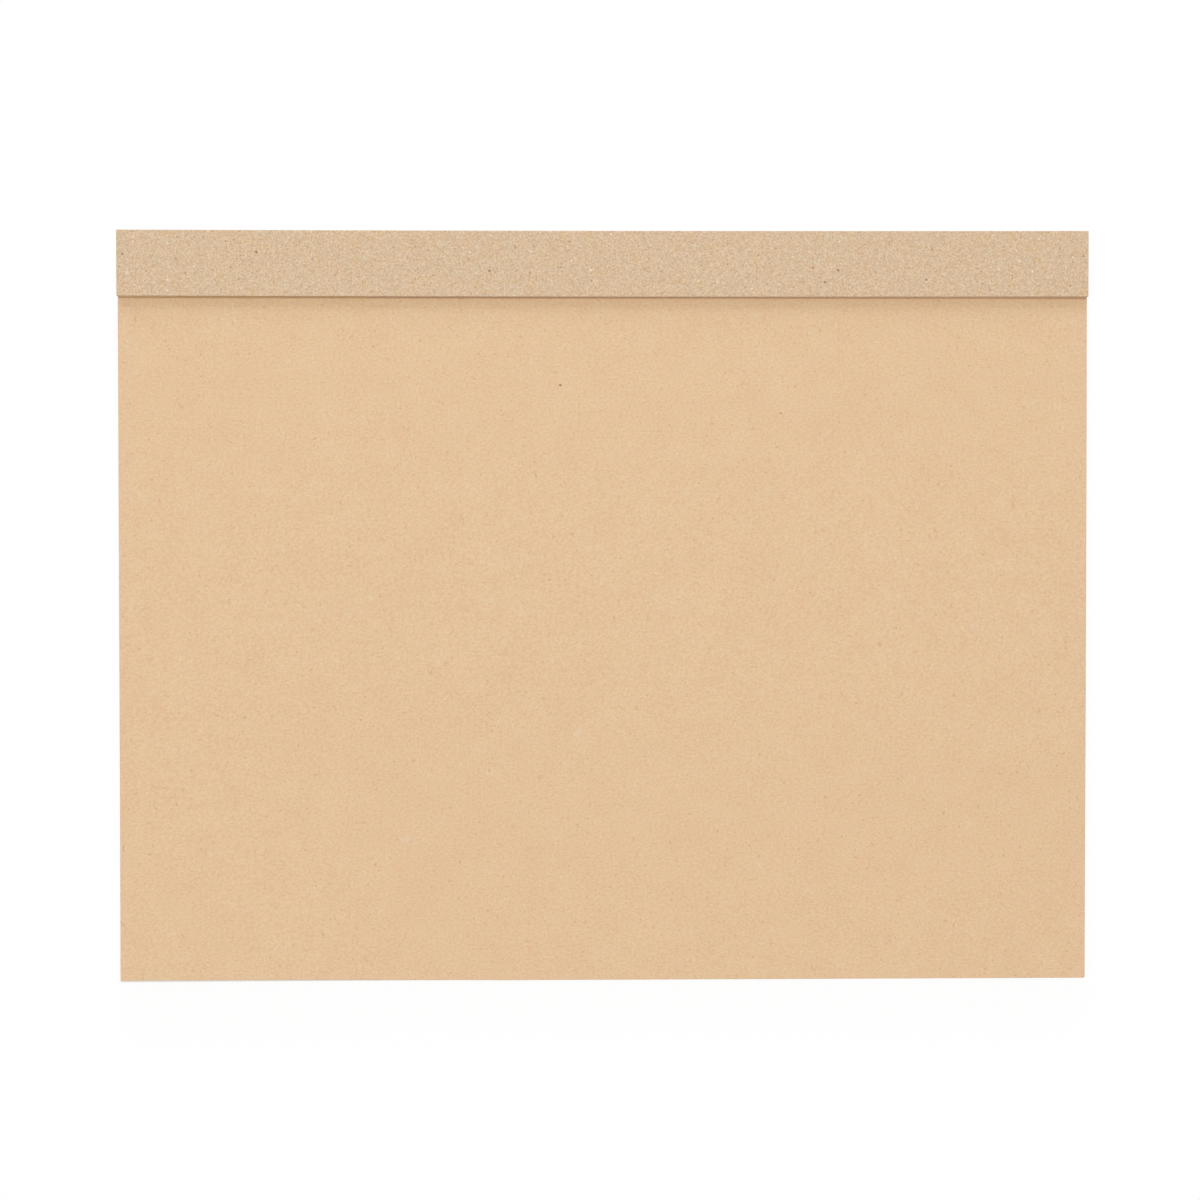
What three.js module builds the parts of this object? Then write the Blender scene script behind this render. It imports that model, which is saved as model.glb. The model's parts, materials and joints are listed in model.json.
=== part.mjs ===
import * as THREE from 'three';

// Drawing pad, lying flat: a chipboard back, a block of perforated drawing
// sheets and a kraft cover, bound along the head by padding glue and a
// chipboard strip.
//
// Millimetres. +Z is up, +Y points to the head, where the pad is bound, and +X
// runs along the head. The origin is under the middle of the pad's outline.

// Driving dimensions: the sheets
const leafWidth = 420;
const leafHeight = 297;
const sheetThickness = 0.25;
const sheetCount = 20;

// Driving dimensions: the cover
const coverThickness = 0.5;
const coverSkew = 0.7; // how far the cover's tail edge runs out at its left corner
const coverSkewLength = 164; // from the left corner to where the tail edges meet

// Driving dimensions: the boards
const boardThickness = 2;
const stripThickness = 2;
const stripDepth = 28.5;
const stripOverhang = 0.25; // past the sheets, at each end

// Driving dimensions: the glue
const stripGlueThickness = 0.1;
const stripGlueInset = 1.5; // from the strip's edges to the film's
const headGlueThickness = 0.3;

// Clearances
const pressedGap = 0.02; // the air between two faces that lie on each other
const perforationGap = 0.2; // between a leaf and its stub
const creaseGap = 0.2; // between the cover's bound margin and its front leaf
const creaseSetback = 0.4; // from the strip's front face to the middle of the crease

// Places along Y, from the head to the tail
const padDepth = leafHeight + stripDepth;
const headY = padDepth / 2;
const boundEdgeY = headY - headGlueThickness;
const tearLineY = headY - stripDepth;
const tailY = tearLineY - leafHeight;
const creaseY = tearLineY - creaseSetback;

// Places along Z, from the table up
const firstSheetZ = boardThickness + pressedGap;
const sheetPitch = sheetThickness + pressedGap;
const coverZ = firstSheetZ + sheetCount * sheetPitch;
const coverTopZ = coverZ + coverThickness;
const stripGlueZ = coverTopZ + pressedGap;
const stripZ = stripGlueZ + stripGlueThickness + pressedGap;

const chipboard = new THREE.MeshStandardMaterial({ color: 0xd8bd9c, roughness: 0.9, metalness: 0 });
const kraftCard = new THREE.MeshStandardMaterial({ color: 0xe2c19c, roughness: 0.8, metalness: 0 });
const drawingPaper = new THREE.MeshStandardMaterial({ color: 0xf1efe9, roughness: 0.88, metalness: 0 });
const driedGlue = new THREE.MeshStandardMaterial({ color: 0xeceae2, roughness: 0.45, metalness: 0 });

// A flat rectangular piece, centred across the pad
function slab(name, material, { width, fromY, toY, bottomZ, thickness }) {
  const mesh = new THREE.Mesh(new THREE.BoxGeometry(width, toY - fromY, thickness), material);
  mesh.name = name;
  mesh.position.set(0, (fromY + toY) / 2, bottomZ + thickness / 2);
  return mesh;
}

function makeBackingBoard() {
  return slab('backing_board', chipboard, {
    width: leafWidth,
    fromY: tailY,
    toY: boundEdgeY,
    bottomZ: 0,
    thickness: boardThickness,
  });
}

// One drawing sheet, as its tear-off leaf and its bound stub
function makeSheet(number) {
  const label = `sheet_${String(number).padStart(2, '0')}`;
  const place = {
    width: leafWidth,
    bottomZ: coverZ - number * sheetPitch,
    thickness: sheetThickness,
  };
  const sheet = new THREE.Group();
  sheet.add(
    slab(`${label}_leaf`, drawingPaper, { ...place, fromY: tailY, toY: tearLineY }),
    slab(`${label}_stub`, drawingPaper, {
      ...place,
      fromY: tearLineY + perforationGap,
      toY: boundEdgeY,
    }),
  );
  return sheet;
}

// The block of sheets, numbered from the cover down
function makeBlock() {
  const block = new THREE.Group();
  for (let number = 1; number <= sheetCount; number += 1) {
    block.add(makeSheet(number));
  }
  return block;
}

// The cover's front leaf. Its tail edge runs a little out of square at the left,
// so the sheets show there.
function makeCoverLeaf() {
  const outline = new THREE.Shape();
  outline.moveTo(-leafWidth / 2, tailY + coverSkew);
  outline.lineTo(-leafWidth / 2 + coverSkewLength, tailY);
  outline.lineTo(leafWidth / 2, tailY);
  outline.lineTo(leafWidth / 2, creaseY - creaseGap / 2);
  outline.lineTo(-leafWidth / 2, creaseY - creaseGap / 2);
  outline.closePath();
  const geometry = new THREE.ExtrudeGeometry(outline, { depth: coverThickness, bevelEnabled: false });
  const leaf = new THREE.Mesh(geometry, kraftCard);
  leaf.name = 'cover_leaf';
  return leaf;
}

function makeCover() {
  const cover = new THREE.Group();
  cover.position.z = coverZ;
  cover.add(
    slab('cover_margin', kraftCard, {
      width: leafWidth,
      fromY: creaseY + creaseGap / 2,
      toY: boundEdgeY,
      bottomZ: 0,
      thickness: coverThickness,
    }),
    makeCoverLeaf(),
  );
  return cover;
}

// The strip, the film that holds it down, and the glue over the bound edges
function makeBinding() {
  const binding = new THREE.Group();
  binding.add(
    slab('strip_glue', driedGlue, {
      width: leafWidth - 2 * stripGlueInset,
      fromY: tearLineY + stripGlueInset,
      toY: boundEdgeY - stripGlueInset,
      bottomZ: stripGlueZ,
      thickness: stripGlueThickness,
    }),
    slab('head_strip', chipboard, {
      width: leafWidth + 2 * stripOverhang,
      fromY: tearLineY,
      toY: headY,
      bottomZ: stripZ,
      thickness: stripThickness,
    }),
    slab('head_glue', driedGlue, {
      width: leafWidth,
      fromY: boundEdgeY + pressedGap,
      toY: headY,
      bottomZ: 0,
      thickness: coverTopZ,
    }),
  );
  return binding;
}

const drawingPad = new THREE.Group();
drawingPad.add(makeBackingBoard(), makeBlock(), makeCover(), makeBinding());

export default drawingPad;
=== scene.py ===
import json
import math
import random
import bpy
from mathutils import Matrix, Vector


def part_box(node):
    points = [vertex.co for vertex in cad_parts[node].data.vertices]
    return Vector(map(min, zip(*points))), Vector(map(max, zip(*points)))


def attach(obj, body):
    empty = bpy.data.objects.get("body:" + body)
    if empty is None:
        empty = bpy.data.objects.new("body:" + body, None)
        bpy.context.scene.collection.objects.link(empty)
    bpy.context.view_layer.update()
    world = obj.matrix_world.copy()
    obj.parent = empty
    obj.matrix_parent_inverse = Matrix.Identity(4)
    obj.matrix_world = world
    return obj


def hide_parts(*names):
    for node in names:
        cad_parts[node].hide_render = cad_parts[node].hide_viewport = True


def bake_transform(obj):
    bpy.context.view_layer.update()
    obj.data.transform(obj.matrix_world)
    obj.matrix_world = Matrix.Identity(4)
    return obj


bl_info = {
    "name": "Drawing Pad",
    "version": (1, 0, 0),
    "blender": (4, 5, 0),
    "location": "3D Viewport > Sidebar > Drawing Pad",
    "description": "Dresses a packed drawing pad in card, chipboard, paper and glue",
    "category": "Add Mesh",
}

import bpy
from mathutils import Vector, noise

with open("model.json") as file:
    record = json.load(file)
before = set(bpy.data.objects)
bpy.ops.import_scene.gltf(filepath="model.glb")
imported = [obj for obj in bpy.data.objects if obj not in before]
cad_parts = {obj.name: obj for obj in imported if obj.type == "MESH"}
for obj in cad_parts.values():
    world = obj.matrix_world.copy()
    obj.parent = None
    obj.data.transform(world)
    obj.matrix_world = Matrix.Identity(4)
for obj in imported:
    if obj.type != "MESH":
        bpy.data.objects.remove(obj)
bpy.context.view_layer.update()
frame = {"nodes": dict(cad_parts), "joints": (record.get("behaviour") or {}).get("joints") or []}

MM = 0.001
# Two places that are closer than this are taken as one
TOUCHING = 0.01 * MM
IMAGE_SIDE = 1200
SENSOR_WIDTH = 36.0

LEAVES = sorted(n for n in frame["nodes"] if n.endswith("_leaf") and n != "cover_leaf")
STUBS = sorted(n for n in frame["nodes"] if n.endswith("_stub"))
COVER_LOW, COVER_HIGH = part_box("cover_leaf")
FOLD = next(j for j in frame["joints"] if j["name"] == "cover_fold_over")


class PadSizes(bpy.types.PropertyGroup):
    """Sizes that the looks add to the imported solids"""

    curl: bpy.props.FloatProperty(
        name="Corner Curl",
        description="How far the cover has curled up at its left tail corner",
        default=1.9 * MM,
        min=0.0,
        max=2.1 * MM,
        unit="LENGTH",
    )
    curl_across: bpy.props.FloatProperty(
        name="Curl Across",
        description="How far along the tail edge the curl reaches",
        default=230 * MM,
        min=10 * MM,
        unit="LENGTH",
    )
    curl_up: bpy.props.FloatProperty(
        name="Curl Up",
        description="How far up the left edge the curl reaches",
        default=210 * MM,
        min=10 * MM,
        unit="LENGTH",
    )
    skew: bpy.props.FloatProperty(
        name="Cover Skew",
        description="How far the cover's tail edge runs short at its left corner",
        default=0.85 * MM,
        min=0.0,
        unit="LENGTH",
    )
    skew_length: bpy.props.FloatProperty(
        name="Skew Length",
        description="From the left corner to where the cover's and the sheets' edges meet",
        default=164 * MM,
        min=1 * MM,
        unit="LENGTH",
    )
    blunting: bpy.props.FloatProperty(
        name="Corner Blunting",
        description="How far the cover's right tail corner is worn away, along each edge",
        default=0.35 * MM,
        min=0.0,
        max=0.45 * MM,
        unit="LENGTH",
    )
    bend: bpy.props.FloatProperty(
        name="Bend Width",
        description="Width of the cover's zone that bends when it is folded over",
        default=3.3 * MM,
        min=1 * MM,
        unit="LENGTH",
    )
    belly: bpy.props.FloatProperty(
        name="Cover Belly",
        description="How far the cover stands off the sheets in the middle of its height",
        default=0.5 * MM,
        min=0.0,
        max=1.5 * MM,
        unit="LENGTH",
    )
    score_width: bpy.props.FloatProperty(
        name="Score Width",
        description="Width of the line scored in the cover where it folds",
        default=1.1 * MM,
        min=0.2 * MM,
        unit="LENGTH",
    )
    score_depth: bpy.props.FloatProperty(
        name="Score Depth",
        description="Depth of the line scored in the cover where it folds",
        default=0.28 * MM,
        min=0.0,
        max=0.35 * MM,
        unit="LENGTH",
    )
    strip_bow: bpy.props.FloatProperty(
        name="Strip Bow",
        description="How far the head strip bows towards the tail in the middle",
        default=0.25 * MM,
        min=0.0,
        max=0.3 * MM,
        unit="LENGTH",
    )
    trim_error: bpy.props.FloatProperty(
        name="Trim Error",
        description="How much the sheets' cut edges differ from each other",
        default=0.1 * MM,
        min=0.0,
        max=0.15 * MM,
        unit="LENGTH",
    )
    perforation: bpy.props.FloatProperty(
        name="Perforation Pitch",
        description="From one paper tie of the perforation to the next",
        default=3.0 * MM,
        min=1 * MM,
        unit="LENGTH",
    )
    tie: bpy.props.FloatProperty(
        name="Tie Width",
        description="Width of each paper tie of the perforation",
        default=0.7 * MM,
        min=0.2 * MM,
        unit="LENGTH",
    )
    tie_length: bpy.props.FloatProperty(
        name="Tie Length",
        description="How far a torn tie stands out of a sheet's edge",
        default=0.1 * MM,
        min=0.0,
        max=0.1 * MM,
        unit="LENGTH",
    )


class PadColours(bpy.types.PropertyGroup):
    """Colours as sRGB hex values"""

    kraft: bpy.props.StringProperty(
        name="Kraft Card", description="Main colour of the cover", default="E3C29E"
    )
    board: bpy.props.StringProperty(
        name="Chipboard", description="Main colour of the strip and the back", default="D9BEA0"
    )
    paper: bpy.props.StringProperty(
        name="Drawing Paper", description="Main colour of the sheets", default="EDEBE8"
    )
    glue: bpy.props.StringProperty(
        name="Padding Glue", description="Main colour of the dried glue", default="E2DDD0"
    )


def sizes():
    return bpy.context.scene.drawing_pad_sizes


def colours():
    return bpy.context.scene.drawing_pad_colours


def linear(code):
    """An sRGB hex value as a linear colour."""
    shares = [int(code[i : i + 2], 16) / 255 for i in (0, 2, 4)]
    return (*[s / 12.92 if s <= 0.04045 else ((s + 0.055) / 1.055) ** 2.4 for s in shares], 1.0)


def per_mm(*lengths):
    """Texture scales that make a pattern's unit as long as these lengths in millimetres."""
    return tuple(1 / (length * MM) for length in lengths)


def add_node(tree, kind, settings=None, inputs=None):
    """Adds a node. A socket among the inputs is linked, and any other value is set."""
    made = tree.nodes.new(kind)
    for name, value in (settings or {}).items():
        setattr(made, name, value)
    for key, value in (inputs or {}).items():
        if isinstance(value, bpy.types.NodeSocket):
            tree.links.new(value, made.inputs[key])
        else:
            made.inputs[key].default_value = value
    return made


# The sockets of a Mix and of a Map Range share their names, so they are known by number
MIX_FACTOR, MIX_A, MIX_B, MIX_RESULT = 0, 6, 7, 2
MIX_NUMBER_A, MIX_NUMBER_B = 2, 3
FROM_MIN, FROM_MAX, TO_MIN, TO_MAX = 1, 2, 3, 4


def new_material(name):
    """A named material with an empty node tree and its output."""
    material = bpy.data.materials.new(name)
    material.use_nodes = True
    tree = material.node_tree
    tree.nodes.clear()
    return material, tree, add_node(tree, "ShaderNodeOutputMaterial")


def tinted(tree, colour, pattern, low, high):
    """Multiplies a colour by one tint where a noise pattern is low and another where high. The
    tints are reached where the pattern is a quarter away from its middle."""
    share = add_node(
        tree,
        "ShaderNodeMapRange",
        inputs={"Value": pattern, FROM_MIN: 0.25, FROM_MAX: 0.75, TO_MIN: 0.0, TO_MAX: 1.0},
    )
    tint = add_node(
        tree,
        "ShaderNodeMix",
        {"data_type": "RGBA"},
        {MIX_FACTOR: share.outputs[0], MIX_A: (*low, 1.0), MIX_B: (*high, 1.0)},
    )
    made = add_node(
        tree,
        "ShaderNodeMix",
        {"data_type": "RGBA", "blend_type": "MULTIPLY"},
        {MIX_FACTOR: 1.0, MIX_A: colour, MIX_B: tint.outputs[MIX_RESULT]},
    )
    return made.outputs[MIX_RESULT]


def browned(tree, colour, pattern, depth, green=1.6, blue=2.1):
    """Darkens a brown towards a deeper brown where a pattern is low, and pales it where high:
    its green and blue change more than its red, by these factors."""
    low = (1 - depth, 1 - green * depth, 1 - blue * depth)
    high = (1 + depth, 1 + green * depth, 1 + blue * depth)
    return tinted(tree, colour, pattern, low, high)


def hue_drifted(tree, place, colour, length_mm, red, green, blue):
    """Lets a colour drift to both sides of its hue, in patches of this length."""
    drift = add_node(
        tree,
        "ShaderNodeTexNoise",
        inputs={"Vector": place, "Scale": per_mm(length_mm)[0], "Detail": 3.0, "Roughness": 0.6},
    )
    one_side = (1 + red, 1 + green, 1 + blue)
    other_side = (1 - red, 1 - green, 1 - blue)
    return tinted(tree, colour, drift.outputs["Fac"], one_side, other_side)


def scaled(colour, *shares):
    """A colour with its red, green and blue multiplied."""
    return (*[c * s for c, s in zip(colour, shares)], 1.0)


def haired(tree, place, colour, curl_mm, stretch_mm, scarcity, hair, strength):
    """Lays fine curled hairs on a colour. They follow the level lines of one noise, where a
    second noise is above the scarcity. A hair is solid up to its core from the line, gone at its
    rim, and fades in along its length."""
    core, rim, fade = 0.006, 0.022, 0.09
    curls = add_node(
        tree,
        "ShaderNodeTexNoise",
        inputs={"Vector": place, "Scale": per_mm(curl_mm)[0], "Detail": 1.0},
    )
    off_line = add_node(
        tree, "ShaderNodeMath", {"operation": "SUBTRACT"}, {0: curls.outputs["Fac"], 1: 0.5}
    )
    away = add_node(tree, "ShaderNodeMath", {"operation": "ABSOLUTE"}, {0: off_line.outputs[0]})
    line = add_node(
        tree,
        "ShaderNodeMapRange",
        inputs={"Value": away.outputs[0], FROM_MIN: core, FROM_MAX: rim, TO_MIN: 1.0, TO_MAX: 0.0},
    )
    stretches = add_node(
        tree,
        "ShaderNodeTexNoise",
        inputs={"Vector": place, "Scale": per_mm(stretch_mm)[0], "Detail": 1.0},
    )
    present = add_node(
        tree,
        "ShaderNodeMapRange",
        inputs={
            "Value": stretches.outputs["Fac"],
            FROM_MIN: scarcity,
            FROM_MAX: scarcity + fade,
            TO_MIN: 0.0,
            TO_MAX: strength,
        },
    )
    shown = add_node(
        tree, "ShaderNodeMath", {"operation": "MULTIPLY"}, {0: line.outputs[0], 1: present.outputs[0]}
    )
    laid = add_node(
        tree,
        "ShaderNodeMix",
        {"data_type": "RGBA"},
        {MIX_FACTOR: shown.outputs[0], MIX_A: colour, MIX_B: hair},
    )
    return laid.outputs[MIX_RESULT]


def flecked(tree, place, colour, cell_mm, reach, share, fleck, strength):
    """Lays flecks on a colour: a share of the cells of this size hold one, and reach is the
    fleck's radius as a part of the cell. It is solid up to 0.6 of its reach and gone at 1.4."""
    cells = add_node(
        tree, "ShaderNodeTexVoronoi", inputs={"Vector": place, "Scale": per_mm(cell_mm)[0]}
    )
    near = add_node(
        tree,
        "ShaderNodeMapRange",
        inputs={
            "Value": cells.outputs["Distance"],
            FROM_MIN: reach * 0.6,
            FROM_MAX: reach * 1.4,
            TO_MIN: 1.0,
            TO_MAX: 0.0,
        },
    )
    drawn = add_node(tree, "ShaderNodeSeparateColor", inputs={0: cells.outputs["Color"]})
    held = add_node(
        tree, "ShaderNodeMath", {"operation": "LESS_THAN"}, {0: drawn.outputs[0], 1: share}
    )
    shown = add_node(
        tree, "ShaderNodeMath", {"operation": "MULTIPLY"}, {0: near.outputs[0], 1: held.outputs[0]}
    )
    weak = add_node(
        tree, "ShaderNodeMath", {"operation": "MULTIPLY"}, {0: shown.outputs[0], 1: strength}
    )
    laid = add_node(
        tree,
        "ShaderNodeMix",
        {"data_type": "RGBA"},
        {MIX_FACTOR: weak.outputs[0], MIX_A: colour, MIX_B: fleck},
    )
    return laid.outputs[MIX_RESULT]


def single_fleck(tree, place, colour, where_mm, size_mm, fleck, strength):
    """Lays one fleck on the cover's face, with its half-sizes in millimetres."""
    half = Vector((size_mm[0], size_mm[1], 1)) * MM
    middle = Vector((where_mm[0] * MM, where_mm[1] * MM, COVER_HIGH[2]))
    shares = add_node(
        tree,
        "ShaderNodeVectorMath",
        {"operation": "DIVIDE"},
        {0: place, 1: half},
    )
    away = add_node(
        tree,
        "ShaderNodeVectorMath",
        {"operation": "DISTANCE"},
        {0: shares.outputs[0], 1: Vector(m / h for m, h in zip(middle, half))},
    )
    near = add_node(
        tree,
        "ShaderNodeMapRange",
        inputs={
            "Value": away.outputs["Value"],
            FROM_MIN: 0.5,
            FROM_MAX: 1.0,
            TO_MIN: strength,
            TO_MAX: 0.0,
        },
    )
    laid = add_node(
        tree,
        "ShaderNodeMix",
        {"data_type": "RGBA"},
        {MIX_FACTOR: near.outputs[0], MIX_A: colour, MIX_B: fleck},
    )
    return laid.outputs[MIX_RESULT]


def kraft_card():
    """Machine-glazed kraft card: a dense felt of short brown fibres, with a soft cloudy
    formation and a few bark flecks. The glazing gives it a dull, even sheen."""
    material, tree, output = new_material("kraft_card_machine_glazed")
    main = linear(colours().kraft)
    place = add_node(tree, "ShaderNodeAttribute", {"attribute_name": "rest_place"}).outputs["Vector"]

    # Fibre: a grain of about 1 mm, slightly longer along the head
    fibres_at = add_node(
        tree, "ShaderNodeMapping", inputs={"Vector": place, "Scale": per_mm(1.15, 0.9, 0.9)}
    )
    fibres = add_node(
        tree,
        "ShaderNodeTexNoise",
        inputs={"Vector": fibres_at.outputs[0], "Scale": 1.0, "Detail": 3.5, "Roughness": 0.72},
    )
    # Formation: clouds from 14 mm across downwards
    clouds = add_node(
        tree,
        "ShaderNodeTexNoise",
        inputs={"Vector": place, "Scale": per_mm(14)[0], "Detail": 4.0, "Roughness": 0.7},
    )
    colour = browned(tree, main, fibres.outputs["Fac"], 0.094, 1.65, 1.88)
    colour = browned(tree, colour, clouds.outputs["Fac"], 0.018, 2.3, 2.9)
    # The brown is a little pinker, more golden or greyer from place to place
    for length, red, green, blue in (
        (2.2, 0.002, 0.001, -0.007),
        (5, 0.01, -0.011, -0.005),
        (11, 0.005, -0.005, -0.004),
    ):
        colour = hue_drifted(tree, place, colour, length, red, green, blue)
    # Hairs: fine darker fibres, 1 to 3 mm long
    colour = haired(tree, place, colour, 2.6, 1.9, 0.57, scaled(main, 0.78, 0.61, 0.47), 0.6)

    # Wisps: sparse knots of paler and greyer fibre, 2 to 3 mm across
    knots = add_node(
        tree,
        "ShaderNodeTexNoise",
        inputs={"Vector": place, "Scale": per_mm(6.5)[0], "Detail": 3.0, "Roughness": 0.6},
    )
    wisps = add_node(
        tree,
        "ShaderNodeMapRange",
        inputs={
            "Value": knots.outputs["Fac"],
            FROM_MIN: 0.645,
            FROM_MAX: 0.78,
            TO_MIN: 0.0,
            TO_MAX: 0.5,
        },
    )
    paled = add_node(
        tree,
        "ShaderNodeMix",
        {"data_type": "RGBA"},
        {MIX_FACTOR: wisps.outputs[0], MIX_A: colour, MIX_B: linear("E7CFB7")},
    )
    colour = paled.outputs[MIX_RESULT]

    # Bark flecks: one cell in eight holds one, about 0.7 mm across
    colour = flecked(tree, place, colour, 7, 0.05, 0.125, linear("B08A63"), 0.55)
    # The two flecks that stand out, a dark one and a rust one
    for where, size, code, strength in (
        ((-19.0, 96.0), (0.85, 0.45), "6E4B3E", 0.9),
        ((76.7, 83.7), (0.7, 0.45), "A5683F", 0.65),
    ):
        colour = single_fleck(tree, place, colour, where, size, linear(code), strength)

    # Painted shade: the card is darkened to a warmer brown along the scored crease, where shade falls
    # at the strip's foot
    score = add_node(tree, "ShaderNodeAttribute", {"attribute_name": "score"}).outputs["Fac"]
    crease_painted_shade = add_node(
        tree,
        "ShaderNodeMix",
        {"data_type": "RGBA"},
        {MIX_FACTOR: score, MIX_A: colour, MIX_B: scaled(main, 0.72, 0.64, 0.56)},
    )
    colour = crease_painted_shade.outputs[MIX_RESULT]
    # Cut edges are a little darker
    edge = add_node(tree, "ShaderNodeAttribute", {"attribute_name": "cut_edge"}).outputs["Fac"]
    edged = add_node(
        tree,
        "ShaderNodeMix",
        {"data_type": "RGBA"},
        {MIX_FACTOR: edge, MIX_A: colour, MIX_B: scaled(main, 0.9, 0.88, 0.85)},
    )

    # Relief: fibre ends a few hundredths of a millimetre high
    relief = add_node(
        tree,
        "ShaderNodeBump",
        inputs={"Height": fibres.outputs["Fac"], "Distance": 0.03 * MM, "Strength": 0.5},
    )
    rough = add_node(
        tree,
        "ShaderNodeMapRange",
        inputs={
            "Value": clouds.outputs["Fac"],
            FROM_MIN: 0.3,
            FROM_MAX: 0.7,
            TO_MIN: 0.66,
            TO_MAX: 0.78,
        },
    )
    shader = add_node(
        tree,
        "ShaderNodeBsdfPrincipled",
        inputs={
            "Base Color": edged.outputs[MIX_RESULT],
            "Roughness": rough.outputs[0],
            "Normal": relief.outputs[0],
            "IOR": 1.47,
            "Specular IOR Level": 0.3,
        },
    )
    tree.links.new(shader.outputs[0], output.inputs["Surface"])
    return material


def chipboard():
    """Recycled chipboard, pressed from mixed waste paper: a grainy tan ground full of pale and
    dark specks, quite matt, and in plies that show on its cut edges."""
    material, tree, output = new_material("recycled_chipboard")
    main = linear(colours().board)
    place = add_node(tree, "ShaderNodeTexCoord").outputs["Object"]

    # Ground: a pulp of fine grains, with coarser ones 2 mm across
    grains = add_node(
        tree,
        "ShaderNodeTexNoise",
        inputs={"Vector": place, "Scale": per_mm(0.85)[0], "Detail": 2.0, "Roughness": 0.7},
    )
    lumps = add_node(
        tree,
        "ShaderNodeTexNoise",
        inputs={"Vector": place, "Scale": per_mm(2.4)[0], "Detail": 3.0, "Roughness": 0.6},
    )
    colour = browned(tree, main, grains.outputs["Fac"], 0.2, 1.4, 1.75)
    colour = browned(tree, colour, lumps.outputs["Fac"], 0.045, 1.8, 2.9)
    # Its grains are golden or grey, and pinker or greener, and so are patches of it
    for length, red, green, blue in (
        (1.3, 0.009, 0.004, -0.045),
        (1.7, 0.028, -0.02, -0.02),
        (4.5, 0.008, 0.002, -0.04),
        (9, 0.014, -0.01, -0.016),
    ):
        colour = hue_drifted(tree, place, colour, length, red, green, blue)
    # Golden fibres, 1 to 2 mm long
    colour = haired(tree, place, colour, 2.1, 1.5, 0.5, linear("CC9A5E"), 0.5)
    # Specks of waste paper: unbleached, white, rust, printed and blue
    for cell, reach, share, code, strength in (
        (1.9, 0.17, 0.16, "94734F", 0.6),
        (2.9, 0.13, 0.12, "F6EEE2", 0.75),
        (4.3, 0.12, 0.08, "B5713C", 0.6),
        (6.3, 0.078, 0.2, "57473A", 0.72),
        (8.7, 0.07, 0.13, "A3BBC8", 0.65),
    ):
        colour = flecked(tree, place, colour, cell, reach, share, linear(code), strength)

    # Plies on the cut edges: thin layers, each a little darker or paler. The cut faces are dark
    # overall: partly the pulp's own colour, partly painted shade for the strip's shaded front face
    plies_at = add_node(
        tree, "ShaderNodeMapping", inputs={"Vector": place, "Scale": per_mm(3.2, 3.2, 0.24)}
    )
    plies = add_node(
        tree,
        "ShaderNodeTexNoise",
        inputs={"Vector": plies_at.outputs[0], "Scale": 1.0, "Detail": 4.0, "Roughness": 0.75},
    )
    cut = add_node(
        tree,
        "ShaderNodeMix",
        {"data_type": "RGBA"},
        {
            MIX_FACTOR: plies.outputs["Fac"],
            MIX_A: scaled(main, 0.5, 0.46, 0.43),
            MIX_B: scaled(main, 0.95, 0.93, 0.9),
        },
    )
    edge = add_node(tree, "ShaderNodeAttribute", {"attribute_name": "cut_edge"}).outputs["Fac"]
    edged = add_node(
        tree,
        "ShaderNodeMix",
        {"data_type": "RGBA"},
        {MIX_FACTOR: edge, MIX_A: colour, MIX_B: cut.outputs[MIX_RESULT]},
    )
    height = add_node(
        tree,
        "ShaderNodeMix",
        {"data_type": "FLOAT"},
        {
            MIX_FACTOR: edge,
            MIX_NUMBER_A: grains.outputs["Fac"],
            MIX_NUMBER_B: plies.outputs["Fac"],
        },
    )
    relief = add_node(
        tree,
        "ShaderNodeBump",
        inputs={"Height": height.outputs[0], "Distance": 0.06 * MM, "Strength": 0.7},
    )
    shader = add_node(
        tree,
        "ShaderNodeBsdfPrincipled",
        inputs={
            "Base Color": edged.outputs[MIX_RESULT],
            "Roughness": 0.9,
            "Normal": relief.outputs[0],
            "IOR": 1.47,
            "Specular IOR Level": 0.2,
        },
    )
    tree.links.new(shader.outputs[0], output.inputs["Surface"])
    return material


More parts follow.
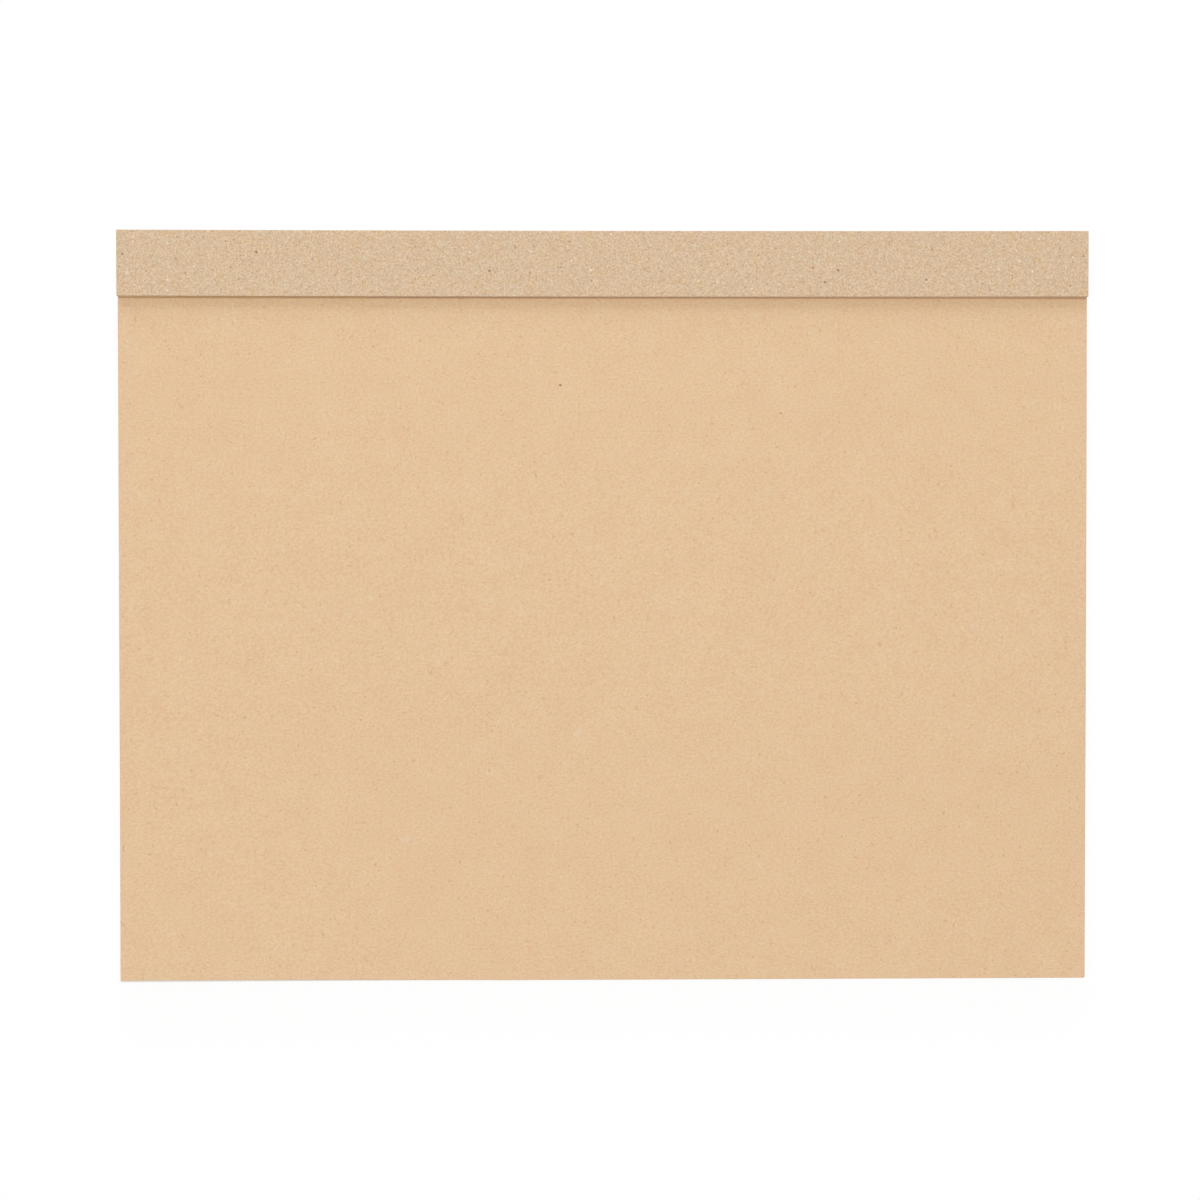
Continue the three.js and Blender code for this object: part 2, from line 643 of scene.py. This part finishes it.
def drawing_paper():
    """Uncoated cartridge paper, about 200 g/m2, with a fine felt-marked tooth. It is a warm
    white and matt, and its guillotined edges look a little darker."""
    material, tree, output = new_material("cartridge_paper")
    main = linear(colours().paper)
    place = add_node(tree, "ShaderNodeTexCoord").outputs["Object"]
    formation = add_node(
        tree,
        "ShaderNodeTexNoise",
        inputs={"Vector": place, "Scale": per_mm(3.5)[0], "Detail": 3.0, "Roughness": 0.6},
    )
    ground = add_node(
        tree,
        "ShaderNodeMix",
        {"data_type": "RGBA"},
        {
            MIX_FACTOR: formation.outputs["Fac"],
            MIX_A: scaled(main, 0.975, 0.973, 0.968),
            MIX_B: scaled(main, 1.025, 1.026, 1.03),
        },
    )
    # Each sheet's cut edge has its own tone, so the block shows its leaves
    tone = add_node(tree, "ShaderNodeAttribute", {"attribute_name": "edge_tone"}).outputs["Fac"]
    cut = add_node(
        tree,
        "ShaderNodeMix",
        {"data_type": "RGBA"},
        {
            MIX_FACTOR: tone,
            MIX_A: scaled(main, 0.74, 0.73, 0.71),
            MIX_B: scaled(main, 0.97, 0.965, 0.955),
        },
    )
    edge = add_node(tree, "ShaderNodeAttribute", {"attribute_name": "cut_edge"}).outputs["Fac"]
    edged = add_node(
        tree,
        "ShaderNodeMix",
        {"data_type": "RGBA"},
        {MIX_FACTOR: edge, MIX_A: ground.outputs[MIX_RESULT], MIX_B: cut.outputs[MIX_RESULT]},
    )
    # Tooth: felt marks 0.8 mm across and 0.02 mm deep
    tooth = add_node(
        tree,
        "ShaderNodeTexNoise",
        inputs={"Vector": place, "Scale": per_mm(0.8)[0], "Detail": 3.0, "Roughness": 0.6},
    )
    relief = add_node(
        tree,
        "ShaderNodeBump",
        inputs={"Height": tooth.outputs["Fac"], "Distance": 0.02 * MM, "Strength": 0.6},
    )
    shader = add_node(
        tree,
        "ShaderNodeBsdfPrincipled",
        inputs={
            "Base Color": edged.outputs[MIX_RESULT],
            "Roughness": 0.88,
            "Normal": relief.outputs[0],
            "IOR": 1.5,
            "Specular IOR Level": 0.25,
        },
    )
    tree.links.new(shader.outputs[0], output.inputs["Surface"])
    return material


def padding_glue():
    """Dried white padding glue: a rubbery film with a dull shine, streaked along the head by
    the brush, in which the edges of the sheets grin through."""
    material, tree, output = new_material("dried_padding_glue")
    main = linear(colours().glue)
    place = add_node(tree, "ShaderNodeTexCoord").outputs["Object"]
    # Brush streaks: 30 mm long and 0.9 mm wide, along the head
    streaks_at = add_node(
        tree, "ShaderNodeMapping", inputs={"Vector": place, "Scale": per_mm(30, 1.5, 0.9)}
    )
    streaks = add_node(
        tree,
        "ShaderNodeTexNoise",
        inputs={"Vector": streaks_at.outputs[0], "Scale": 1.0, "Detail": 3.0, "Roughness": 0.6},
    )
    film = add_node(
        tree,
        "ShaderNodeMix",
        {"data_type": "RGBA"},
        {
            MIX_FACTOR: streaks.outputs["Fac"],
            MIX_A: scaled(main, 0.72, 0.69, 0.64),
            MIX_B: scaled(main, 1.08, 1.08, 1.08),
        },
    )
    # The sheets' edges grin through. They are 0.27 mm apart, and drawn as 0.4 mm to show
    lines_at = add_node(
        tree, "ShaderNodeMapping", inputs={"Vector": place, "Scale": per_mm(60, 60, 0.4)}
    )
    lines = add_node(
        tree,
        "ShaderNodeTexNoise",
        inputs={"Vector": lines_at.outputs[0], "Scale": 1.0, "Detail": 1.0, "Roughness": 0.5},
    )
    lined = browned(tree, film.outputs[MIX_RESULT], lines.outputs["Fac"], 0.05)
    relief = add_node(
        tree,
        "ShaderNodeBump",
        inputs={"Height": streaks.outputs["Fac"], "Distance": 0.25 * MM, "Strength": 0.8},
    )
    shader = add_node(
        tree,
        "ShaderNodeBsdfPrincipled",
        inputs={
            "Base Color": lined,
            "Roughness": 0.38,
            "Normal": relief.outputs[0],
            "IOR": 1.48,
        },
    )
    tree.links.new(shader.outputs[0], output.inputs["Surface"])
    return material


MATERIALS = {
    "kraft_card": kraft_card,
    "chipboard": chipboard,
    "drawing_paper": drawing_paper,
    "padding_glue": padding_glue,
}
made_materials = {}


def finish_in(piece, name):
    """Gives a piece the material made for this name."""
    if name not in made_materials:
        made_materials[name] = MATERIALS[name]()
    piece.data.materials.clear()
    piece.data.materials.append(made_materials[name])


def select_only(*pieces):
    """Leaves object mode as the mode, and these pieces as the selection."""
    if bpy.context.object and bpy.context.object.mode != "OBJECT":
        bpy.ops.object.mode_set(mode="OBJECT")
    bpy.ops.object.select_all(action="DESELECT")
    for piece in pieces:
        piece.select_set(True)
        bpy.context.view_layer.objects.active = piece


def flat_stock(name, xs, ys, z):
    """A thin sheet with its grid lines at these rising places along X and Y."""
    select_only()
    columns, rows = len(xs) - 1, len(ys) - 1
    bpy.ops.mesh.primitive_grid_add(x_subdivisions=columns, y_subdivisions=rows, size=1)
    piece = bpy.context.object
    piece.name = name
    piece.data.name = name
    for vertex in piece.data.vertices:
        column = round((vertex.co.x + 0.5) * columns)
        row = round((vertex.co.y + 0.5) * rows)
        vertex.co = (xs[column], ys[row], z)
    piece.data.update()
    return piece


def spread(start, end, count):
    """Evenly spaced places from start up to, but not at, end."""
    return [start + (end - start) * i / count for i in range(count)]


def edged_lines(low, high, count):
    """Evenly spaced grid lines, with one more close inside each end, so that the rounding of
    an edge doesn't shade the flat beside it."""
    beside = 0.5 * MM
    return [low, *spread(low + beside, high - beside, count), high - beside, high]


def apply_modifier(piece, kind, **settings):
    """Adds a modifier with its settings and applies it."""
    select_only(piece)
    modifier = piece.modifiers.new(kind.title(), kind)
    for name, value in settings.items():
        setattr(modifier, name, value)
    bpy.ops.object.modifier_apply(modifier=modifier.name)


def thicken(piece, thickness):
    """Gives a sheet its thickness, downwards from its top face."""
    apply_modifier(piece, "SOLIDIFY", thickness=thickness, offset=-1.0, use_even_offset=True)


def ease_edges(piece, width):
    """Rounds the cut edges a little, as a guillotine leaves them."""
    apply_modifier(
        piece,
        "BEVEL",
        width=width,
        segments=2,
        limit_method="ANGLE",
        angle_limit=math.radians(40),
    )


def edit_faces(piece, chosen):
    """Enters edit mode with only the faces that pass the test selected."""
    select_only(piece)
    bpy.context.tool_settings.mesh_select_mode = (False, False, True)
    bpy.ops.object.mode_set(mode="EDIT")
    bpy.ops.mesh.select_all(action="DESELECT")
    bpy.ops.object.mode_set(mode="OBJECT")
    for face in piece.data.polygons:
        face.select = chosen(face)
    bpy.ops.object.mode_set(mode="EDIT")


def move_points(piece, shift):
    """Adds shift(place) to each point of a mesh."""
    for vertex in piece.data.vertices:
        vertex.co += shift(vertex.co.copy())
    piece.data.update()


def mark_cut_edges(piece):
    """Marks the faces of a flat piece that a knife has cut, for its material."""
    marks = piece.data.attributes.new("cut_edge", "FLOAT", "FACE")
    for face, mark in zip(piece.data.polygons, marks.data):
        mark.value = 1.0 if abs(face.normal.z) < 0.5 else 0.0


def mark_rest_places(piece):
    """Keeps each point's place at rest, so a pattern stays on the card when it bends."""
    marks = piece.data.attributes.new("rest_place", "FLOAT_VECTOR", "POINT")
    for vertex, mark in zip(piece.data.vertices, marks.data):
        mark.vector = vertex.co


def smooth(piece):
    """Shades a piece smooth, but for its sharp edges."""
    select_only(piece)
    bpy.ops.object.shade_smooth_by_angle(angle=math.radians(35))


def corner_curl(place):
    """How much of the curl a place has, from 0 on the flat to 1 at the left tail corner. The
    card rolls about a line across the corner, so it rises with the square of the distance."""
    across = (place.x - COVER_LOW.x) / sizes().curl_across
    up = (place.y - COVER_LOW.y) / sizes().curl_up
    return max(0.0, 1 - across - up) ** 2


def raggedness(place, seed, grain_mm=2.0):
    """A smooth random number from -1 to 1 along an edge."""
    return noise.noise(Vector((place.x, place.y, seed)) / (grain_mm * MM))


def board(name, node, rows, seed, bow=0.0):
    """A guillotined piece of chipboard, with a slightly fibrous edge. The bow is how far its
    middle lies towards the tail."""
    columns = 140
    edge_noise = 0.035 * MM
    eased = 0.16 * MM
    low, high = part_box(node)
    middle = (low + high) / 2
    xs = edged_lines(low.x, high.x, columns)
    ys = edged_lines(low.y, high.y, rows)
    piece = flat_stock(name, xs, ys, high.z)

    def roughen(place):
        inward = edge_noise * (0.5 + 0.5 * raggedness(place, seed))
        from_middle = (place.x - middle.x) / (high.x - middle.x)
        shift = Vector((0, bow * (from_middle**2 - 1), 0))
        if min(place.x - low.x, high.x - place.x) < TOUCHING:
            shift.x += math.copysign(inward, middle.x - place.x)
        if min(place.y - low.y, high.y - place.y) < TOUCHING:
            shift.y += math.copysign(inward, middle.y - place.y)
        return shift

    move_points(piece, roughen)
    thicken(piece, high.z - low.z)
    ease_edges(piece, eased)
    mark_cut_edges(piece)
    smooth(piece)
    finish_in(piece, "chipboard")
    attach(piece, "root")
    return piece


class DRAWINGPAD_OT_backing_board(bpy.types.Operator):
    """Make the chipboard back"""

    bl_idname = "drawing_pad.backing_board"
    bl_label = "Backing Board"

    def execute(self, context):
        piece = board("backing_board_sheet", "backing_board", rows=60, seed=11)
        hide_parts("backing_board")
        return {"FINISHED"}


class DRAWINGPAD_OT_head_strip(bpy.types.Operator):
    """Make the chipboard strip along the head"""

    bl_idname = "drawing_pad.head_strip"
    bl_label = "Head Strip"

    def execute(self, context):
        piece = board("head_strip_board", "head_strip", rows=8, seed=23, bow=sizes().strip_bow)
        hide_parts("head_strip")
        return {"FINISHED"}


class DRAWINGPAD_OT_sheets(bpy.types.Operator):
    """Make the perforated drawing sheets, as their leaves and their bound stubs"""

    bl_idname = "drawing_pad.sheets"
    bl_label = "Drawing Sheets"

    def execute(self, context):
        if len(LEAVES) != len(STUBS):
            raise RuntimeError("each leaf needs its stub")
        leaf_pattern = perforated_sheet("leaf_pattern", LEAVES[0], rows=14, torn_side=1)
        stub_pattern = perforated_sheet("stub_pattern", STUBS[0], rows=2, torn_side=-1)
        draws = random.Random(5)
        for depth, (leaf, stub) in enumerate(zip(LEAVES, STUBS), 1):
            sideways = draws.uniform(-0.6, 0.6) * sizes().trim_error
            shorter = draws.uniform(0, 1) * sizes().trim_error
            tone = draws.random()
            body = leaf.removesuffix("_leaf")
            lay_copy(leaf_pattern, leaf, body, depth, sideways, shorter, tone)
            lay_copy(stub_pattern, stub, "root", depth, sideways, 0.0, tone)
        for pattern in (leaf_pattern, stub_pattern):
            bpy.data.meshes.remove(pattern.data)
        return {"FINISHED"}


def perforated_sheet(name, node, rows, torn_side):
    """One zone of a drawing sheet, with half of each paper tie on its torn edge. The torn side
    is 1 where the perforation is along the head edge and -1 along the tail edge. The perforation
    starts and ends in the middle of a tie."""
    low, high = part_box(node)
    tie = sizes().tie
    ties = spread(low.x, high.x, round((high.x - low.x) / sizes().perforation))
    slit = ties[1] - ties[0] - tie
    slits = [place + tie / 2 for place in ties]
    xs = [low.x, *[x for start in slits for x in (start, start + slit)], high.x]
    ys = [*spread(low.y, high.y, rows), high.y]
    piece = flat_stock(name, xs, ys, high.z)
    thicken(piece, high.z - low.z)
    torn_y = high.y if torn_side > 0 else low.y
    corners = piece.data.vertices

    def is_tie(face):
        xs = [corners[i].co.x for i in face.vertices]
        narrow = max(xs) - min(xs) < tie * 1.5
        return narrow and face.normal.y * torn_side > 0.9 and abs(face.center.y - torn_y) < tie

    edit_faces(piece, is_tie)
    bpy.ops.mesh.extrude_region_move(
        TRANSFORM_OT_translate={"value": (0, torn_side * sizes().tie_length, 0)}
    )
    select_only(piece)
    mark_cut_edges(piece)
    return piece


def lay_copy(pattern, node, body, depth, sideways, shorter, tone):
    """Copies a sheet's pattern to its place in the block. A sheet shares less of the corner's
    curl the deeper it lies, and the lowest quarter of the block lies flat."""
    curled_part = 0.75
    low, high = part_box(node)
    pattern_high = max(v.co.z for v in pattern.data.vertices)
    drop = high[2] - pattern_high
    share = max(0.0, 1 - depth / (curled_part * len(LEAVES)))
    lift = sizes().curl * share**1.2
    piece = bpy.data.objects.new(node.replace("sheet", "paper"), pattern.data.copy())
    piece.data.name = piece.name
    bpy.context.collection.objects.link(piece)
    depth_span = high[1] - low[1]

    def lay(place):
        towards_tail = (high[1] - place.y) / depth_span
        up = lift * corner_curl(place)
        return Vector((sideways, shorter * max(0.0, towards_tail), drop + up))

    move_points(piece, lay)
    tones = piece.data.attributes.new("edge_tone", "FLOAT", "POINT")
    tones.data.foreach_set("value", [tone] * len(piece.data.vertices))
    smooth(piece)
    finish_in(piece, "drawing_paper")
    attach(piece, body)
    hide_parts(node)


class DRAWINGPAD_OT_cover(bpy.types.Operator):
    """Make the kraft card cover, one sheet from its bound margin to its tail edge"""

    bl_idname = "drawing_pad.cover"
    bl_label = "Cover"

    def execute(self, context):
        low, high = COVER_LOW, COVER_HIGH
        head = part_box("cover_margin")[1].y
        crease = FOLD["pos_m"][1]
        bend_end = crease - sizes().bend
        groove = sizes().score_width / 2
        beside = 0.3 * MM
        eased = 0.07 * MM
        # Under 1, so the belly's highest place is nearer the head than the tail
        lean = 0.8
        xs = edged_lines(low.x, high.x, 70)
        ys = [low.y, *spread(low.y + beside, bend_end, 50)]
        # Grid lines are close together where the card bends
        ys += spread(bend_end, crease - groove, 14)
        ys += spread(crease - groove, crease + groove, 10)
        ys += [*spread(crease + groove, head - beside, 6), head - beside, head]
        piece = flat_stock("kraft_cover", xs, ys, high.z)

        def shape(place):
            down = min(1.0, max(0.0, (bend_end - place.y) / (bend_end - low.y)))
            bowed = sizes().belly * math.sin(math.pi * down**lean) ** 2
            shift = Vector((0, 0, bowed + sizes().curl * corner_curl(place)))
            if place.y < low.y + beside * 1.5:
                from_left = (place.x - low.x) / sizes().skew_length
                shift.y = sizes().skew * max(0.0, 1 - from_left**2)
            if (high - place).x + (place - low).y < TOUCHING:
                shift += Vector((-1, 1, 0)) * sizes().blunting
            return shift

        move_points(piece, shape)
        thicken(piece, high.z - low.z)
        ease_edges(piece, eased)
        mark_cut_edges(piece)
        # The rule pressed harder in some places along the crease than in others. The same mark sets
        # the groove's depth and how much painted shade darkens the card's colour there
        score = piece.data.attributes.new("score", "FLOAT", "POINT")
        for vertex, mark in zip(piece.data.vertices, score.data):
            away = abs(vertex.co.y - crease) / groove
            if away < 1 and vertex.co.z > (low.z + high.z) / 2:
                pressure = 0.8 + 0.4 * raggedness(vertex.co, 61, grain_mm=85)
                mark.value = min(1.0, pressure) * (0.5 + 0.5 * math.cos(math.pi * away))
                vertex.co.z -= sizes().score_depth * mark.value
        mark_rest_places(piece)
        smooth(piece)
        finish_in(piece, "kraft_card")
        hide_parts("cover_margin", "cover_leaf")
        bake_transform(piece)
        return {"FINISHED"}


class DRAWINGPAD_OT_strip_glue(bpy.types.Operator):
    """Make the film of glue under the head strip"""

    bl_idname = "drawing_pad.strip_glue"
    bl_label = "Strip Glue"

    def execute(self, context):
        low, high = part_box("strip_glue")
        xs = [*spread(low.x, high.x, 120), high.x]
        ys = [*spread(low.y, high.y, 8), high.y]
        piece = flat_stock("strip_glue_film", xs, ys, high.z)
        middle = (low + high) / 2
        half = (high - low) / 2
        wander = 0.6 * MM

        def spread_unevenly(place):
            x_share = (place.x - middle.x) / half.x
            y_share = (place.y - middle.y) / half.y
            inward = 0.5 + 0.5 * raggedness(place, 31, grain_mm=9)
            return Vector((-x_share**9, -y_share**9, 0)) * wander * inward

        move_points(piece, spread_unevenly)
        thicken(piece, high.z - low.z)
        mark_cut_edges(piece)
        smooth(piece)
        finish_in(piece, "padding_glue")
        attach(piece, "root")
        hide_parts("strip_glue")
        return {"FINISHED"}


class DRAWINGPAD_OT_head_glue(bpy.types.Operator):
    """Make the padding glue brushed over the bound edges"""

    bl_idname = "drawing_pad.head_glue"
    bl_label = "Head Glue"

    def execute(self, context):
        low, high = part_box("head_glue")
        middle = (low + high) / 2
        select_only()
        bpy.ops.mesh.primitive_grid_add(
            x_subdivisions=280,
            y_subdivisions=14,
            size=1,
            location=(middle.x, high.y, middle.z),
            rotation=(-math.pi / 2, 0, 0),
        )
        piece = bpy.context.object
        piece.name = piece.data.name = "head_glue_film"
        piece.scale = (high.x - low.x, high.z - low.z, 1)
        bpy.ops.object.transform_apply(location=True, rotation=True, scale=True)
        half = (high - low) / 2
        swell = 0.1 * MM
        ragged_hem = 0.35 * MM
        film = 0.16 * MM

        def brush(place):
            along = abs(place.x - middle.x) / half.x
            up = (place.z - middle.z) / half.z
            rounding = max(along**60, abs(up) ** 10)
            thin = 0.5 + 0.5 * noise.noise(Vector((place.x / 12, place.z / 1.2, 0.4)) / MM)
            hem = (0.5 + 0.5 * raggedness(place, 47, grain_mm=6)) * ragged_hem
            return Vector((0, -swell * max(rounding, thin), -max(0.0, up) ** 12 * hem))

        move_points(piece, brush)
        thicken(piece, film)
        smooth(piece)
        finish_in(piece, "padding_glue")
        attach(piece, "root")
        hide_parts("head_glue")
        return {"FINISHED"}


class DRAWINGPAD_OT_stage(bpy.types.Operator):
    """Make the floor, the soft light, the white background and the camera"""

    bl_idname = "drawing_pad.stage"
    bl_label = "Stage"

    def execute(self, context):
        make_floor()
        make_lights()
        make_world()
        make_camera()
        context.scene.view_settings.view_transform = "Standard"
        return {"FINISHED"}


def background_rays(tree):
    """1 for the rays that see the background: the camera's, and those in a gloss or in glass."""
    rays = add_node(tree, "ShaderNodeLightPath")
    direct = add_node(
        tree,
        "ShaderNodeMath",
        {"operation": "MAXIMUM"},
        {0: rays.outputs["Is Camera Ray"], 1: rays.outputs["Is Glossy Ray"]},
    )
    seen = add_node(
        tree,
        "ShaderNodeMath",
        {"operation": "MAXIMUM"},
        {0: direct.outputs[0], 1: rays.outputs["Is Transmission Ray"]},
    )
    return seen.outputs[0]


def make_floor():
    """A plain pale floor, just under the pad."""
    side = 12
    below = 0.05 * MM
    select_only()
    bpy.ops.mesh.primitive_plane_add(size=side, location=(0, 0, -below))
    floor = bpy.context.object
    floor.name = "floor"
    material, tree, output = new_material("pale_studio_floor")
    # The floor is seen nearly white by itself, with a tenth of the pad's shadow on it. Its glow is
    # a little over 1, because the matt tenth is a little under white.
    glow_share = 0.9
    glow_strength = 1.01
    matt = add_node(tree, "ShaderNodeBsdfDiffuse", inputs={"Color": linear("F9FAFF")})
    glow = add_node(
        tree,
        "ShaderNodeEmission",
        inputs={"Color": linear("FFFFFF"), "Strength": glow_strength},
    )
    seen = add_node(
        tree, "ShaderNodeMath", {"operation": "MULTIPLY"}, {0: background_rays(tree), 1: glow_share}
    )
    mixed = add_node(
        tree,
        "ShaderNodeMixShader",
        inputs={0: seen.outputs[0], 1: matt.outputs[0], 2: glow.outputs[0]},
    )
    tree.links.new(mixed.outputs[0], output.inputs["Surface"])
    floor.data.materials.append(material)


def make_lights():
    """A broad overhead panel, and a low one beyond the head for the strip's shadow. The low one
    is cooler, so the shadow is warm."""
    for name, place, across, deep, power, colour in (
        ("overhead_panel", (-0.15, -0.15, 2.2), 2.2, 2.2, 28.8, (1.0, 0.945, 0.82)),
        ("head_panel", (0.0, 3.01, 0.89), 4.0, 1.2, 74.0, (0.78, 0.88, 1.0)),
    ):
        select_only()
        bpy.ops.object.light_add(type="AREA", location=place)
        lamp = bpy.context.object
        lamp.name = name
        lamp.data.shape = "RECTANGLE"
        lamp.data.size = across
        lamp.data.size_y = deep
        lamp.data.energy = power
        lamp.data.color = colour
        lamp.rotation_euler = (-Vector(place)).to_track_quat("-Z", "Y").to_euler()
        lamp.visible_camera = False


def make_world():
    """White behind everything that the camera and the reflections see, and a dimmer fill."""
    fill = 0.4
    world = bpy.data.worlds.new("white_studio")
    bpy.context.scene.world = world
    world.use_nodes = True
    tree = world.node_tree
    tree.nodes.clear()
    output = add_node(tree, "ShaderNodeOutputWorld")
    dim = add_node(tree, "ShaderNodeBackground", inputs={"Strength": fill})
    white = add_node(tree, "ShaderNodeBackground", inputs={"Strength": 1.0})
    for background in (dim, white):
        background.inputs["Color"].default_value = linear("FFFFFF")
    mixed = add_node(
        tree,
        "ShaderNodeMixShader",
        inputs={0: background_rays(tree), 1: dim.outputs[0], 2: white.outputs[0]},
    )
    tree.links.new(mixed.outputs[0], output.inputs["Surface"])


def make_camera():
    """Almost straight above the pad, at the distance that the strip's parallax gives."""
    height = 1100 * MM
    place = Vector((-22.9 * MM, 27.1 * MM, height))
    turn = [math.radians(a) for a in (-1.272, -1.103, -0.053)]
    pixels_per_length = 2.2865 / MM
    select_only()
    bpy.ops.object.camera_add(location=place, rotation=turn)
    camera = bpy.context.object
    camera.name = "camera"
    camera.data.sensor_width = SENSOR_WIDTH
    camera.data.lens = pixels_per_length * height / IMAGE_SIDE * SENSOR_WIDTH
    camera.data.clip_start = 0.01
    bpy.context.scene.camera = camera


class DRAWINGPAD_PT_pieces(bpy.types.Panel):
    """The pad's pieces, in the order in which they are made"""

    bl_label = "Drawing Pad"
    bl_space_type = "VIEW_3D"
    bl_region_type = "UI"
    bl_category = "Drawing Pad"

    def draw(self, context):
        for settings in (sizes(), colours()):
            for name in settings.__annotations__:
                self.layout.prop(settings, name)
        for operator in OPERATORS:
            self.layout.operator(operator.bl_idname)


OPERATORS = (
    DRAWINGPAD_OT_backing_board,
    DRAWINGPAD_OT_sheets,
    DRAWINGPAD_OT_cover,
    DRAWINGPAD_OT_strip_glue,
    DRAWINGPAD_OT_head_strip,
    DRAWINGPAD_OT_head_glue,
    DRAWINGPAD_OT_stage,
)
CLASSES = (PadSizes, PadColours, *OPERATORS, DRAWINGPAD_PT_pieces)


def register():
    for cls in CLASSES:
        bpy.utils.register_class(cls)
    bpy.types.Scene.drawing_pad_sizes = bpy.props.PointerProperty(type=PadSizes)
    bpy.types.Scene.drawing_pad_colours = bpy.props.PointerProperty(type=PadColours)


def unregister():
    del bpy.types.Scene.drawing_pad_colours
    del bpy.types.Scene.drawing_pad_sizes
    for cls in reversed(CLASSES):
        bpy.utils.unregister_class(cls)


def main():
    register()
    bpy.ops.drawing_pad.backing_board()
    bpy.ops.drawing_pad.sheets()
    bpy.ops.drawing_pad.cover()
    bpy.ops.drawing_pad.strip_glue()
    bpy.ops.drawing_pad.head_strip()
    bpy.ops.drawing_pad.head_glue()
    bpy.ops.drawing_pad.stage()
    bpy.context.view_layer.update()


if __name__ == "__main__":
    main()
